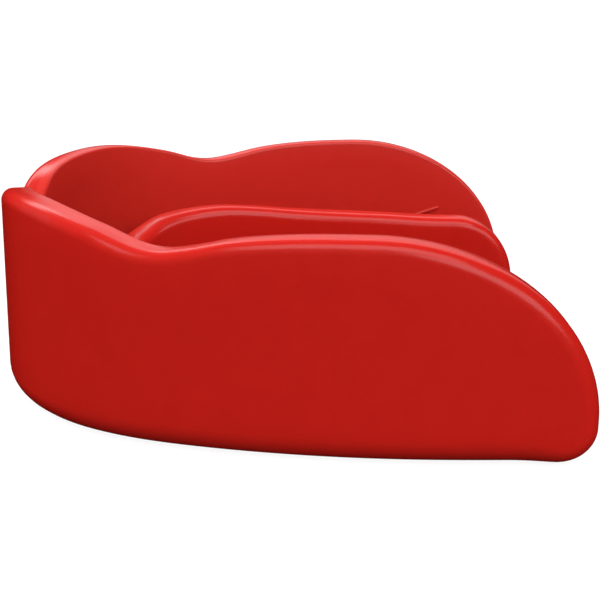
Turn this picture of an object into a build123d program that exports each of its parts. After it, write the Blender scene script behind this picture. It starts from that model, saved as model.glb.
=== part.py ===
from build123d import *
from math import radians, tan
import os

# Mouthguard: a moulded outer shell with a softer fitting liner in its tooth channel.
#
# Frame: +Z up, the front teeth face -Y, the wearer's left is +X, and the guard rests on Z = 0
# with the origin under the middle of its outline. All lengths are in millimetres.

# Overall size
HALF_WIDTH = 31.0  # centre line to the outside of the arch
LENGTH = 60.8  # front face to the rear ends
DRAFT = 2.1  # degrees that every wall leans inwards on its way up

# Half of the outer arch as tangent arcs, front to rear: radius, degrees turned
ARCH_ARCS = ((38.5, 14.5), (23.2, 58.0), (109.0, 18.5))

# Each surface of the channel is the same arch, scaled: half width, distance behind the front
OUTER_FACE = (HALF_WIDTH, 0.0)
SHELL_OUTER_WALL = (29.0, 2.0)
LIP_SIDE_OF_CHANNEL = (27.8, 3.2)
TONGUE_SIDE_OF_CHANNEL = (18.2, 9.5)
SHELL_INNER_WALL = (17.0, 10.7)
PALATE_FACE = (15.2, 12.5)

# Floor
SHELL_FLOOR = 2.5
CHANNEL_FLOOR = 4.0
BASE_ROUND = 2.8  # radius along the outer edge of the base

# Outer rim, seen from the side: distance behind the front, height
OUTER_RIM = ((6.0, 22.3), (19.8, 19.2), (38.0, 21.1))
OUTER_REAR_RISE = 20.5  # length of the elliptical run down to the rear end

# Inner rim, seen from the side
INNER_RIM = ((6.0, 11.1), (14.0, 13.9), (22.0, 14.8), (38.0, 13.7), (51.0, 13.0))
INNER_REAR_RISE = 8.0

REAR_CORNER = 4.0  # radius of the lower rear corners

# Notch in the front of the outer rim for the fold under the upper lip: half width, height
LIP_NOTCH = ((0.0, 18.4), (4.4, 20.7), (12.0, 22.4))
LIP_NOTCH_DEPTH = 8.0

# The liner sits in a pocket, which the shell closes at the rear ends with a lip this thick
REAR_LIP = 1.6

# Low grip rib on the lip side of the channel, one near each rear end
RIB_LENGTH = 6.0
RIB_WIDTH = 0.6
RIB_HEIGHT = 0.4  # how far it stands out of the liner
RIB_CENTRE = (49.6, 10.8)  # distance behind the front, height
RIB_TILT = 19.0  # degrees that it climbs towards the rear

# Sizes of the blanks that the walls are cut from
BLANK_HEIGHT = 24.0
REAR_OVERRUN = 10.0  # how far the arch blanks run past the rear ends
SPARE = 1.0  # how far a cutter runs past the surface that it cuts


def arch_plug(half_width, front):
    """Fill one arch from the base to the top of the blank, leaning inwards by the draft."""
    scale = half_width / HALF_WIDTH
    start = (0, front)
    heading = (1, 0)
    arcs = []
    for radius, turn in ARCH_ARCS:
        arc = JernArc(start=start, tangent=heading, radius=radius * scale, arc_size=turn)
        arcs.append(arc)
        start = arc @ 1
        heading = arc % 1
    rear = LENGTH + REAR_OVERRUN
    end = start + heading * ((rear - start.Y) / heading.Y)
    leg = Line(start, end)
    closing = Line(end, (0, rear))
    centre_line = Line((0, rear), (0, front))
    half = make_face(arcs + [leg, closing, centre_line])
    return extrude(half + mirror(half, about=Plane.YZ), BLANK_HEIGHT, taper=DRAFT)


def side_blank(rim, rear_rise):
    """Everything under one rim line, seen from the side, with its rounded rear end."""
    rim_end = Vector(LENGTH - rear_rise, rim[-1][1])
    rim_points = [Vector(*point) for point in rim] + [rim_end]
    rim_line = Spline(rim_points, tangents=[(1, 0), (1, 0)])
    rear = EllipticalCenterArc(
        center=(rim_end.X, REAR_CORNER),
        x_radius=rear_rise,
        y_radius=rim_end.Y - REAR_CORNER,
        start_angle=0,
        arc_size=90,
    )
    base_end = (LENGTH - REAR_CORNER, 0)
    corner = RadiusArc((LENGTH, REAR_CORNER), base_end, REAR_CORNER)
    front_top = (-SPARE, rim[0][1])
    front_base = (-SPARE, 0)
    outline = [
        Line(front_top, rim_points[0]),
        rim_line,
        rear,
        corner,
        Line(base_end, front_base),
        Line(front_base, front_top),
    ]
    face = Plane.YZ * make_face(outline)
    return extrude(face, HALF_WIDTH + SPARE, both=True)


def lip_notch():
    """Cutter that opens the rounded notch in the front of the outer rim."""
    mirrored = [(-x, z) for x, z in reversed(LIP_NOTCH[1:])]
    curve = Spline(mirrored + list(LIP_NOTCH), tangents=[(1, 0), (1, 0)])
    left, right = curve @ 0, curve @ 1
    top_left, top_right = (left.X, BLANK_HEIGHT), (right.X, BLANK_HEIGHT)
    outline = [
        curve,
        Line(right, top_right),
        Line(top_right, top_left),
        Line(top_left, left),
    ]
    face = Plane.XZ * make_face(outline)
    return Pos(0, -SPARE, 0) * extrude(face, -(LIP_NOTCH_DEPTH + SPARE))


def slab(low, high, rear):
    """All the space between two heights that is ahead of a distance behind the front."""
    return Pos(0, rear, low) * Box(
        3 * HALF_WIDTH,
        2 * LENGTH,
        high - low,
        align=(Align.CENTER, Align.MAX, Align.MIN),
    )


PLUGS = {}
for surface in (
    OUTER_FACE,
    SHELL_OUTER_WALL,
    LIP_SIDE_OF_CHANNEL,
    TONGUE_SIDE_OF_CHANNEL,
    SHELL_INNER_WALL,
    PALATE_FACE,
):
    PLUGS[surface] = arch_plug(*surface)

base_edges = PLUGS[OUTER_FACE].edges().filter_by(GeomType.CIRCLE).group_by(Axis.Z)[0]
PLUGS[OUTER_FACE] = fillet(base_edges, BASE_ROUND)


def wall(outside, inside):
    """The space between two of the arch surfaces."""
    return PLUGS[outside] - PLUGS[inside]


OUTER_BLANK = side_blank(OUTER_RIM, OUTER_REAR_RISE) - lip_notch()
INNER_BLANK = side_blank(INNER_RIM, INNER_REAR_RISE)


def make_guard():
    """Shell and liner together: outer wall, floor and inner wall."""
    outer_wall = wall(OUTER_FACE, LIP_SIDE_OF_CHANNEL) & OUTER_BLANK
    below_teeth = slab(0, CHANNEL_FLOOR, LENGTH + SPARE)
    floor = wall(OUTER_FACE, PALATE_FACE) & OUTER_BLANK & below_teeth
    inner_wall = wall(TONGUE_SIDE_OF_CHANNEL, PALATE_FACE) & INNER_BLANK
    return outer_wall + floor + inner_wall


def make_liner():
    """Softer lining of the tooth channel: both sides and the floor, short of the rear ends."""
    pocket_end = LENGTH - REAR_LIP
    lip_side = wall(SHELL_OUTER_WALL, LIP_SIDE_OF_CHANNEL) & OUTER_BLANK
    tongue_side = wall(TONGUE_SIDE_OF_CHANNEL, SHELL_INNER_WALL) & INNER_BLANK
    sides = (lip_side + tongue_side) & slab(SHELL_FLOOR, BLANK_HEIGHT, pocket_end)
    across = wall(SHELL_OUTER_WALL, SHELL_INNER_WALL)
    floor = across & slab(SHELL_FLOOR, CHANNEL_FLOOR, pocket_end)
    return sides + floor


def make_rib():
    """Rounded bar set into the lip side of the channel near the left rear end."""
    distance, height = RIB_CENTRE
    wall_x = LIP_SIDE_OF_CHANNEL[0] - height * tan(radians(DRAFT))
    outline = Rot(0, 0, RIB_TILT) * SlotOverall(RIB_LENGTH, RIB_WIDTH)
    bar = extrude(Plane.YZ * Pos(distance, height) * outline, 2 * RIB_HEIGHT)
    return Pos(wall_x - RIB_HEIGHT, 0, 0) * bar


# The arch is drawn back from its front face; the origin goes under the middle of its outline
liner = make_liner()
shell = make_guard() - liner
rib = make_rib()
ribbed_liner = liner + rib + mirror(rib, about=Plane.YZ)
to_origin = Pos(0, -shell.bounding_box().center().Y, 0)

os.makedirs("parts", exist_ok=True)
export_step(to_origin * shell, "parts/outer_shell.step")
export_step(to_origin * ribbed_liner, "parts/fit_liner.step")
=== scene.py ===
import bmesh
import bpy
import math
import numpy as np
from mathutils import Matrix, Vector


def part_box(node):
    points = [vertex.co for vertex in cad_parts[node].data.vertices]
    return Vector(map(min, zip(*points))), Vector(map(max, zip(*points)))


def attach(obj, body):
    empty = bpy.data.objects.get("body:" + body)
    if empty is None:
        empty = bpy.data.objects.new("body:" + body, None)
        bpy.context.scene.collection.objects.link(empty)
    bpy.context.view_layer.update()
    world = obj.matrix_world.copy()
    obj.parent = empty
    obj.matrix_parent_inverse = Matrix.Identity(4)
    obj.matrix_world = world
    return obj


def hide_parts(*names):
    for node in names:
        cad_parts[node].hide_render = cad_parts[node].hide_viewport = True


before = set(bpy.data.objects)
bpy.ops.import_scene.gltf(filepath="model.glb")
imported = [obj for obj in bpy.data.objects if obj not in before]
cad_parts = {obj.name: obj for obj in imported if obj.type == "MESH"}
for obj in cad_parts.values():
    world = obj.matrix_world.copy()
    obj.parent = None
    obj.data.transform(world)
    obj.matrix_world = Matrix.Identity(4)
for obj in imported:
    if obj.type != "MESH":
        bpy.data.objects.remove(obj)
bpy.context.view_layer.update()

MM = 0.001

# ---- The guard's dimensions, in millimetres ------------------------------------------------
# The half width, the front and the highest rim are 0.02 to 0.05 inside the CAD's own, so that
# the visible skin stays within the CAD's box.
shell_low, shell_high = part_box("outer_shell")
REAR_END = shell_high.y / MM  # where the rear ends are, along Y
HALF_WIDTH = 30.98
LENGTH = 60.8
DRAFT = math.radians(2.1)  # every wall leans inwards on its way up

# Half of the outer arch, front to rear: radius, degrees turned, and how gently the arcs join
ARCH_ARCS = ((38.5, 14.5), (23.2, 58.0), (109.0, 18.5))
ARCH_EASE = 7.0

# Depth into the guard from the outer face, with the front of the scaled arch at that depth
POCKET_OUTER = 2.0
LIP_SIDE = 3.2
TONGUE_SIDE = 12.8
POCKET_INNER = 14.0
PALATE_SIDE = 15.8
ARCH_FRONTS = ((0.0, 0.02), (LIP_SIDE, 3.2), (TONGUE_SIDE, 9.5), (PALATE_SIDE, 12.5))

# Heights
POCKET_FLOOR = 2.5
CHANNEL_FLOOR = 4.0
OUTER_RIM = ((0, 22.25), (6, 22.25), (12.7, 20.9), (17.2, 19.5), (19.8, 19.2), (22.5, 19.55),
             (27, 20.45), (32.5, 20.95), (38.5, 21.08))
INNER_RIM = ((9.5, 11.95), (12, 13.05), (14.1, 14.05), (17, 14.55), (22, 14.8), (26.4, 14.5),
             (33, 13.85), (43, 13.35), (52.4, 12.9))
NOTCH_DEPTH = 3.9
NOTCH_SPREAD = 4.0  # how far to each side the notch takes to fade
NOTCH_ROUND = 1.0  # how broad the bottom of the notch is

# Rear ends: how far each profile takes to come down, and the height that it comes down to
OUTER_FALL = 20.8
INNER_FALL = 7.6
FLOOR_FALL = 0.9
BASE_RISE = 4.0
WALL_END = 4.3
FLOOR_END = 3.9
BASE_END = 3.6
POCKET_END = 3.75
REAR_RUN = 21.0  # columns lie square across the legs for this far from the rear ends

# Grip rib on the lip side of the channel, one near each rear end
RIB_BACK = 11.2  # distance from its middle to the rear end
RIB_MIDDLE = 10.8
RIB_LENGTH = 6.0
RIB_WIDTH = 0.6
RIB_HEIGHT = 0.4
RIB_TILT = math.radians(19.0)

# Roundings
RIM_ROUND = 1.25
NOTCH_RIM_ROUND = 0.9
REAR_ROUND = 1.6  # for the outer rim and the outer edge of the base, at the rear ends
TOOTH_EDGE_ROUND = 0.4
PALATE_ROUND = 1.3
BASE_ROUND = 2.8  # set from the shading above the lower edge
PALATE_BASE_ROUND = 1.2
CHANNEL_ROUND = 1.5

# Mesh density
FRONT_COLUMNS = 60
REAR_COLUMNS = 34
REAR_CROWDING = 1.6  # above 1, the columns crowd together towards the rear ends
LINER_COLUMNS = 28  # the liner stops this many columns into the rear run
FACE_ROWS = 6  # rows of faces down each side of the shell
WELD = 2e-6  # metres
SLIVER = 1e-6  # metres
SHARP_ANGLE = math.radians(38)


# ---- Arch and placing ---------------------------------------------------------------------
def arch_table():
    """Distance, heading, x and y along half of the outer arch, from the front centre."""
    starts, turned = [0.0], [0.0]
    for radius, turn in ARCH_ARCS:
        starts.append(starts[-1] + radius * math.radians(turn))
        turned.append(turned[-1] + math.radians(turn))
    step = 0.05
    distance = np.arange(0.0, 130.0, step)
    heading = np.zeros_like(distance)
    shifts = np.linspace(-ARCH_EASE, ARCH_EASE, 25)
    for shift in shifts:
        shifted = distance + shift
        heading += np.sign(shifted) * np.interp(np.abs(shifted), starts, turned)
    heading /= len(shifts)
    x = np.concatenate(([0.0], np.cumsum(np.cos(heading[:-1]) * step)))
    y = np.concatenate(([0.0], np.cumsum(np.sin(heading[:-1]) * step)))
    return distance, heading, x, y


ARCH_T, ARCH_HEADING, ARCH_X, ARCH_Y = arch_table()
ARCH_X = ARCH_X * HALF_WIDTH / ARCH_X.max()


def arch_at(depth):
    """Scale, front and length of the arch at a depth."""
    scale = (HALF_WIDTH - depth) / HALF_WIDTH
    front = np.interp(depth, *zip(*ARCH_FRONTS))
    length = np.interp((LENGTH - front) / scale, ARCH_Y, ARCH_T) * scale
    return scale, front, length


OUTER_LENGTH = float(arch_at(0.0)[2])


def place(back, depth, height):
    """Points of the left half from the distance to the rear end, the depth and the height."""
    back, depth, height = np.broadcast_arrays(back, depth, height)
    scale, front, length = arch_at(depth)
    beyond = np.maximum(back - REAR_RUN, 0.0)
    squeezed = beyond * (length - REAR_RUN) / (OUTER_LENGTH - REAR_RUN)
    t = (length - np.minimum(back, REAR_RUN) - squeezed) / scale
    heading = np.interp(t, ARCH_T, ARCH_HEADING)
    lean = height * math.tan(DRAFT)
    x = scale * np.interp(t, ARCH_T, ARCH_X) - np.sin(heading) * lean
    y = front + scale * np.interp(t, ARCH_T, ARCH_Y) + np.cos(heading) * lean
    return np.stack((x, y, height), axis=-1)


# ---- Profile lines, seen from the side ----------------------------------------------------
def smooth_curve(points, at):
    """Heights of a smooth curve through a few points, level at both ends."""
    px, pz = (np.array(values, float) for values in zip(*points))
    slope = np.zeros_like(px)
    slope[1:-1] = (pz[2:] - pz[:-2]) / (px[2:] - px[:-2])
    at = np.clip(at, px[0], px[-1])
    i = np.clip(np.searchsorted(px, at) - 1, 0, len(px) - 2)
    width = px[i + 1] - px[i]
    u = (at - px[i]) / width
    return (
        pz[i] * (1 + 2 * u) * (1 - u) ** 2
        + slope[i] * width * u * (1 - u) ** 2
        + pz[i + 1] * u * u * (3 - 2 * u)
        + slope[i + 1] * width * u * u * (u - 1)
    )


def notch_share(back):
    """1 at the middle of the notch in the front of the outer rim, falling to 0 beside it."""
    x = place(back, 0.0, 0.0)[..., 0]
    away = np.sqrt(x * x + NOTCH_ROUND**2) - NOTCH_ROUND
    return np.exp(-away / NOTCH_SPREAD)


def rear_share(back, run):
    """1 at the rear ends, easing to 0 at the start of the run up to them."""
    near = np.clip(1 - back / run, 0.0, 1.0)
    return near * near * (3 - 2 * near)


def outer_rim_height(back):
    """Height of the outer rim, with the notch taken out of it."""
    y = place(back, 0.0, 0.0)[..., 1]
    return smooth_curve(OUTER_RIM, y) - NOTCH_DEPTH * notch_share(back)


def inner_rim_height(back):
    """Height of the inner rim."""
    return smooth_curve(INNER_RIM, place(back, TONGUE_SIDE, 0.0)[..., 1])


def profile(height, fall, end_height):
    """Columns along one profile line: distance to the rear end, height and outward normal."""
    front_back = np.linspace(OUTER_LENGTH, REAR_RUN, FRONT_COLUMNS + 1)
    angle = np.linspace(0.0, math.pi / 2, 120)
    fine_back = np.concatenate((np.linspace(REAR_RUN, fall, 60)[:-1], fall * (1 - np.sin(angle))))
    reach = np.clip(1 - fine_back / fall, 0.0, 1.0)
    share = np.sqrt(1 - reach**2)
    fine_height = end_height + (height(np.maximum(fine_back, fall)) - end_height) * share
    run = np.concatenate(([0.0], np.cumsum(np.hypot(np.diff(fine_back), np.diff(fine_height)))))
    stops = run[-1] * (1 - (1 - np.linspace(0, 1, REAR_COLUMNS + 1)) ** REAR_CROWDING)
    rear_back = np.interp(stops, run, fine_back)
    rear_height = np.interp(stops, run, fine_height)
    back = np.concatenate((front_back, rear_back[1:]))
    heights = np.concatenate((height(front_back), rear_height[1:]))
    side = np.sign(height(np.array([REAR_RUN]))[0] - end_height)
    d_back = np.gradient(np.append(back, 0.0))[:-1]
    d_height = np.gradient(np.append(heights, end_height - side * 0.2))[:-1]
    d_height[0] = 0.0  # the two halves meet level at the front centre
    norm = np.hypot(d_back, d_height)
    return back, heights, side * d_height / norm, -side * d_back / norm


def level(height):
    """A line at one height."""
    return lambda back: np.full_like(np.asarray(back, float), height)


RIM = profile(outer_rim_height, OUTER_FALL, WALL_END)
TONGUE_RIM = profile(inner_rim_height, INNER_FALL, WALL_END)
FLOOR = profile(level(CHANNEL_FLOOR), FLOOR_FALL, FLOOR_END)
POCKET = profile(level(POCKET_FLOOR), FLOOR_FALL, POCKET_END)
BASE = profile(level(0.0), BASE_RISE, BASE_END)
COLUMNS = len(RIM[0])
OUTER_RIM_ROUND = (
    RIM_ROUND
    + (NOTCH_RIM_ROUND - RIM_ROUND) * notch_share(RIM[0])
    + (REAR_ROUND - RIM_ROUND) * rear_share(RIM[0], REAR_RUN)
)
OUTER_BASE_ROUND = BASE_ROUND + (REAR_ROUND - BASE_ROUND) * rear_share(BASE[0], 2 * BASE_RISE)


# ---- Cross-section paths ------------------------------------------------------------------
def inset(line, distance):
    """A profile line moved inwards, away from its rim."""
    back, height, normal_back, normal_height = line
    return back - distance * normal_back, height - distance * normal_height


def rounding(line, radius, edge_depth, inwards, segments):
    """Quarter round from a wall's face over its rim: (back, height, depth) rows."""
    rows = []
    for angle in np.linspace(0.0, math.pi / 2, segments + 1):
        back, height = inset(line, radius * (1 - math.sin(angle)))
        depth = edge_depth + inwards * radius * (1 - math.cos(angle))
        rows.append((back, height, depth + np.zeros(COLUMNS)))
    return rows


def between(first, last, segments):
    """Rows strictly between two rows."""
    rows = []
    for share in np.linspace(0.0, 1.0, segments + 1)[1:-1]:
        rows.append(tuple(a + (b - a) * share for a, b in zip(first, last)))
    return rows


def channel_rows(floor, outer, inner, edge_round, corner):
    """From the top of the outer wall, down its inside, across a floor and up the inner wall."""
    down = rounding(RIM, edge_round, outer, -1, 3)[::-1]
    up = rounding(TONGUE_RIM, edge_round, inner, 1, 3)
    floor_back, floor_height = floor[0], floor[1]
    sides = []
    for top, wall, direction in ((down[-1], outer, 1), (up[0], inner, -1)):
        radius = np.minimum(corner, 0.6 * np.maximum(top[1] - floor_height, 0.0))
        turn = []
        for angle in np.linspace(0.0, math.pi / 2, 5):
            turn.append((
                floor_back,
                floor_height + radius * (1 - math.sin(angle)),
                wall + direction * radius * (1 - math.cos(angle)),
            ))
        sides.append(turn)
    left, right = sides
    rows = down + between(down[-1], left[0], 5) + left
    rows += between(left[-1], right[-1], 7) + right[::-1]
    return rows + between(right[0], up[0], 5) + up


TOOTH_CHANNEL = channel_rows(FLOOR, LIP_SIDE, TONGUE_SIDE, TOOTH_EDGE_ROUND, CHANNEL_ROUND)
LINER_POCKET = channel_rows(POCKET, POCKET_OUTER, POCKET_INNER, 0.0, 0.0)


def guard_top(hollow):
    """Over the whole top of the shell and through a hollow, from outer face to palate face."""
    outer = rounding(RIM, OUTER_RIM_ROUND, 0.0, 1, 7)
    inner = rounding(TONGUE_RIM, PALATE_ROUND, PALATE_SIDE, -1, 7)[::-1]
    shoulder = (RIM[0], RIM[1], np.full(COLUMNS, POCKET_OUTER))
    tongue_shoulder = (TONGUE_RIM[0], TONGUE_RIM[1], np.full(COLUMNS, POCKET_INNER))
    return outer + [shoulder] + hollow + [tongue_shoulder] + inner


def guard_bottom(count):
    """Under the shell, from the palate face to the outer face, with a set number of rows."""
    inner = rounding(BASE, PALATE_BASE_ROUND, PALATE_SIDE, -1, 5)
    outer = rounding(BASE, OUTER_BASE_ROUND, 0.0, 1, 8)[::-1]
    return inner + between(inner[-1], outer[0], count - len(inner) - len(outer) + 1) + outer


def to_points(rows, columns):
    """Points of rows by columns, in metres, on the left half."""
    back, height, depth = (np.array([row[k] for row in rows])[:, columns] for k in range(3))
    points = place(back, depth, height)
    points[..., 1] += REAR_END - LENGTH
    return points * MM


def rib_grid():
    """Slim bar with rounded ends, half sunk into the lip side of the channel."""
    rows = []
    for along in np.sin(np.linspace(-math.pi / 2, math.pi / 2, 17)):
        thin = math.sqrt(1 - along**6) if abs(along) < 1 else 0.0
        around = np.linspace(0.0, 2 * math.pi, 17)
        across = 0.5 * RIB_WIDTH * thin * np.cos(around)
        reach = 0.5 * RIB_LENGTH * along
        back = RIB_BACK - reach * math.cos(RIB_TILT) + across * math.sin(RIB_TILT)
        height = RIB_MIDDLE + reach * math.sin(RIB_TILT) + across * math.cos(RIB_TILT)
        rows.append((back, height, LIP_SIDE + RIB_HEIGHT * thin * np.sin(around)))
    return to_points(rows, slice(None))


# ---- Mesh building ------------------------------------------------------------------------
class Skin:
    """Collects grids of points for the left half and mirrors them into one closed mesh."""

    def __init__(self):
        self.points = []
        self.faces = []

    def add_grid(self, grid, flip=False):
        """Faces between neighbouring points of a rows by columns grid, on both halves."""
        rows, columns = grid.shape[:2]
        for mirror in (1, -1):
            start = len(self.points)
            flat = grid.reshape(-1, 3) * (mirror, 1, 1)
            self.points.extend(map(tuple, flat))
            for i in range(rows - 1):
                for j in range(columns - 1):
                    a = start + i * columns + j
                    face = (a, a + 1, a + columns + 1, a + columns)
                    if (mirror < 0) != flip:
                        face = face[::-1]
                    self.faces.append(face)

    def finish(self, name, material, node):
        """Weld the grids, mark the real edges sharp, and stand for the CAD node."""
        mesh = bpy.data.meshes.new(name)
        mesh.from_pydata(self.points, [], self.faces)
        piece = bpy.data.objects.new(name, mesh)
        bpy.context.scene.collection.objects.link(piece)
        shape = bmesh.new()
        shape.from_mesh(mesh)
        bmesh.ops.remove_doubles(shape, verts=shape.verts, dist=WELD)
        bmesh.ops.dissolve_degenerate(shape, dist=SLIVER, edges=shape.edges)
        bmesh.ops.recalc_face_normals(shape, faces=shape.faces)
        shape.to_mesh(mesh)
        shape.free()
        mesh.shade_smooth()
        mesh.set_sharp_from_angle(angle=SHARP_ANGLE)
        mesh.materials.append(material)
        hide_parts(node)
        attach(piece, "root")
        return piece


# ---- Materials ----------------------------------------------------------------------------
def moulded_rubber(name, colour, dark, roughness):
    """Satin moulded rubber: faint mottling, a fine moulded grain and uneven gloss."""
    material = bpy.data.materials.new(name)
    material.use_nodes = True
    nodes, links = material.node_tree.nodes, material.node_tree.links
    shader = nodes["Principled BSDF"]
    shader.inputs["IOR"].default_value = 1.49
    shader.inputs["Specular IOR Level"].default_value = 0.25
    place_in = nodes.new("ShaderNodeTexCoord")

    mottle = nodes.new("ShaderNodeTexNoise")
    mottle.inputs["Scale"].default_value = 420.0
    mottle.inputs["Detail"].default_value = 6.0
    links.new(place_in.outputs["Object"], mottle.inputs["Vector"])
    tint = nodes.new("ShaderNodeMix")
    tint.data_type = "RGBA"
    tint.inputs["A"].default_value = (*dark, 1)
    tint.inputs["B"].default_value = (*colour, 1)
    links.new(mottle.outputs["Fac"], tint.inputs["Factor"])
    links.new(tint.outputs["Result"], shader.inputs["Base Color"])

    gloss = nodes.new("ShaderNodeMapRange")
    gloss.inputs["To Min"].default_value = roughness - 0.01
    gloss.inputs["To Max"].default_value = roughness + 0.01
    links.new(mottle.outputs["Fac"], gloss.inputs["Value"])
    links.new(gloss.outputs["Result"], shader.inputs["Roughness"])

    grain = nodes.new("ShaderNodeTexNoise")
    grain.inputs["Scale"].default_value = 5200.0
    grain.inputs["Detail"].default_value = 3.0
    links.new(place_in.outputs["Object"], grain.inputs["Vector"])
    bump = nodes.new("ShaderNodeBump")
    bump.inputs["Strength"].default_value = 0.12
    bump.inputs["Distance"].default_value = 0.00006
    links.new(grain.outputs["Fac"], bump.inputs["Height"])
    links.new(bump.outputs["Normal"], shader.inputs["Normal"])
    return material


SHELL_RED = moulded_rubber("shell_rubber", (0.41, 0.009, 0.0055), (0.36, 0.008, 0.0045), 0.22)
# The liner is the same rubber as the shell, painted a little lighter and pinker: painted light on
# the tooth channel's faces and on the inner strip of the rim tops.
LINER_RED_PAINTED_LIGHTER = moulded_rubber("liner_rubber", (0.43, 0.0165, 0.011), (0.385, 0.0145, 0.009), 0.25)


# ---- Pieces -------------------------------------------------------------------------------
def make_shell():
    """The whole guard's outside, hollowed for the liner as far as the liner goes."""
    skin = Skin()
    every = np.arange(COLUMNS)
    pocketed, plain = guard_top(LINER_POCKET), guard_top(TOOTH_CHANNEL)
    bottom = guard_bottom(len(plain))
    last_liner = FRONT_COLUMNS + LINER_COLUMNS
    front, rear = every[: last_liner + 1], every[last_liner:]
    skin.add_grid(to_points(pocketed, front))
    skin.add_grid(to_points(plain, rear))
    pocket_end = [to_points(rows, [last_liner])[:, 0] for rows in (pocketed, plain)]
    skin.add_grid(np.stack(pocket_end, 1))
    skin.add_grid(to_points(bottom, every))
    outer_face = [bottom[-1]] + between(bottom[-1], plain[0], FACE_ROWS) + [plain[0]]
    palate_face = [plain[-1]] + between(plain[-1], bottom[0], FACE_ROWS) + [bottom[0]]
    skin.add_grid(to_points(outer_face, every))
    skin.add_grid(to_points(palate_face, every))
    top_end = to_points(plain, [COLUMNS - 1])[:, 0]
    bottom_end = to_points(bottom[::-1], [COLUMNS - 1])[:, 0]
    climb = top_end - bottom_end
    rungs = [bottom_end + climb * k / FACE_ROWS for k in range(FACE_ROWS + 1)]
    skin.add_grid(np.stack(rungs, 1))
    return skin.finish("outer_shell_skin", SHELL_RED, "outer_shell")


def make_liner():
    """The lining between the pocket and the tooth channel, with its grip ribs."""
    skin = Skin()
    columns = np.arange(FRONT_COLUMNS + LINER_COLUMNS + 1)
    inner, outer = to_points(TOOTH_CHANNEL, columns), to_points(LINER_POCKET, columns)
    skin.add_grid(inner)
    skin.add_grid(outer)
    skin.add_grid(np.stack((outer[0], inner[0])))
    skin.add_grid(np.stack((inner[-1], outer[-1])))
    skin.add_grid(np.stack((outer[:, -1], inner[:, -1]), 1))
    skin.add_grid(rib_grid())
    # Its lighter, pinker colour is painted light, not a different rubber.
    return skin.finish("fit_liner_skin", LINER_RED_PAINTED_LIGHTER, "fit_liner")


make_shell()
make_liner()


# ---- Floor, light and camera --------------------------------------------------------------
def make_floor():
    """Pale floor that only the camera sees: it throws no light or reflection on the guard."""
    bpy.ops.mesh.primitive_plane_add(size=6.0, location=(0, 0, -0.0002))
    floor = bpy.context.object
    floor.name = "floor"
    material = bpy.data.materials.new("pale_floor")
    material.use_nodes = True
    shader = material.node_tree.nodes["Principled BSDF"]
    shader.inputs["Base Color"].default_value = (0.14, 0.14, 0.14, 1)
    shader.inputs["Roughness"].default_value = 0.9
    shader.inputs["Emission Color"].default_value = (1, 1, 1, 1)
    shader.inputs["Emission Strength"].default_value = 0.9
    floor.data.materials.append(material)
    floor.visible_diffuse = False
    floor.visible_glossy = False
    floor.visible_shadow = False


def softbox(name, azimuth, elevation, distance, size, radiance, mirrored=True):
    """A lit panel facing the guard, with its azimuth from +X towards +Y, sizes in metres.

    Only the mirrored panels show in the gloss of the rubber.
    """
    light = bpy.data.lights.new(name, "AREA")
    light.shape = "RECTANGLE"
    light.size, light.size_y = size
    light.energy = radiance * math.pi * size[0] * size[1]
    lamp = bpy.data.objects.new(name, light)
    bpy.context.scene.collection.objects.link(lamp)
    turn, lift = math.radians(azimuth), math.radians(elevation)
    towards = Vector((
        math.cos(lift) * math.cos(turn), math.cos(lift) * math.sin(turn), math.sin(lift)
    ))
    lamp.location = towards * distance
    lamp.rotation_euler = (-towards).to_track_quat("-Z", "Y").to_euler()
    lamp.visible_glossy = mirrored


def make_world():
    """Soft white surroundings, dimmer below the horizon and unseen in the rubber's gloss."""
    world = bpy.data.worlds.new("studio")
    world.use_nodes = True
    nodes, links = world.node_tree.nodes, world.node_tree.links
    direction = nodes.new("ShaderNodeTexCoord")
    parts = nodes.new("ShaderNodeSeparateXYZ")
    links.new(direction.outputs["Generated"], parts.inputs["Vector"])
    strength = nodes.new("ShaderNodeMapRange")
    strength.inputs["From Min"].default_value = -0.15
    strength.inputs["From Max"].default_value = 0.25
    strength.inputs["To Min"].default_value = 0.25
    strength.inputs["To Max"].default_value = 0.50
    links.new(parts.outputs["Z"], strength.inputs["Value"])
    background = nodes["Background"]
    background.inputs["Color"].default_value = (1, 1, 1, 1)
    links.new(strength.outputs["Result"], background.inputs["Strength"])
    bpy.context.scene.world = world
    world.cycles_visibility.glossy = False


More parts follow.
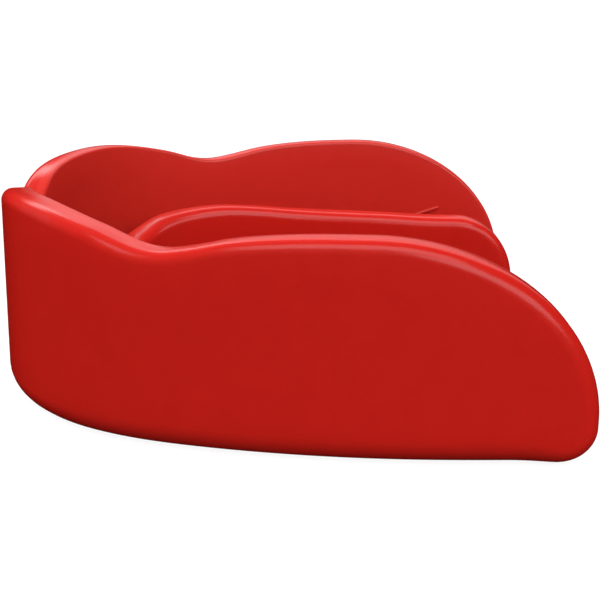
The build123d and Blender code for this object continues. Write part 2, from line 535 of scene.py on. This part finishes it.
# Viewpoint beside the guard's left: distances in millimetres, angles in degrees
VIEW_SIDE = 116.8
VIEW_BEHIND_FRONT = 35.25
VIEW_HEIGHT = 43.0
VIEW_DOWN = 17.31
VIEW_TURN = -0.98
VIEW_ROLL = -0.44
LENS = 62.6


def make_camera():
    """Camera at the viewpoint, looking across the guard and a little down."""
    data = bpy.data.cameras.new("camera")
    data.lens = LENS
    data.sensor_width = 36.0
    data.clip_start = 0.01
    camera = bpy.data.objects.new("camera", data)
    bpy.context.scene.collection.objects.link(camera)
    location = Vector((VIEW_SIDE, VIEW_BEHIND_FRONT + REAR_END - LENGTH, VIEW_HEIGHT)) * MM
    down, turn = math.radians(VIEW_DOWN), math.radians(VIEW_TURN)
    forward = Vector((
        -math.cos(down) * math.cos(turn),
        math.cos(down) * math.sin(turn),
        -math.sin(down),
    ))
    right = Vector((math.sin(turn), math.cos(turn), 0.0))
    facing = Matrix((right, right.cross(forward), -forward)).transposed().to_4x4()
    roll = Matrix.Rotation(math.radians(VIEW_ROLL), 4, "Z")
    camera.matrix_world = Matrix.Translation(location) @ facing @ roll
    bpy.context.scene.camera = camera


make_floor()
make_world()
softbox("near_top", azimuth=0, elevation=57, distance=8.0, size=(9.0, 4.8), radiance=3.6)
softbox("far_top", azimuth=166, elevation=46, distance=8.0, size=(8.5, 4.0), radiance=1.7)
softbox("far_low", azimuth=166, elevation=20, distance=8.0, size=(8.5, 3.2), radiance=0.7)
softbox("front_streak", azimuth=-145, elevation=40, distance=1.0, size=(0.42, 0.28), radiance=3.7)
softbox("rear_strip", azimuth=38, elevation=26, distance=1.0, size=(1.1, 0.40), radiance=3.7)
softbox("top_fill", azimuth=-150, elevation=60, distance=8.0, size=(7.0, 7.0), radiance=3.1,
        mirrored=False)
softbox("side_key", azimuth=0, elevation=26, distance=1.0, size=(1.4, 0.7), radiance=0.9,
        mirrored=False)
softbox("front_fill", azimuth=-110, elevation=26, distance=1.0, size=(0.8, 0.7), radiance=5.3,
        mirrored=False)
make_camera()
bpy.context.scene.view_settings.view_transform = "Standard"
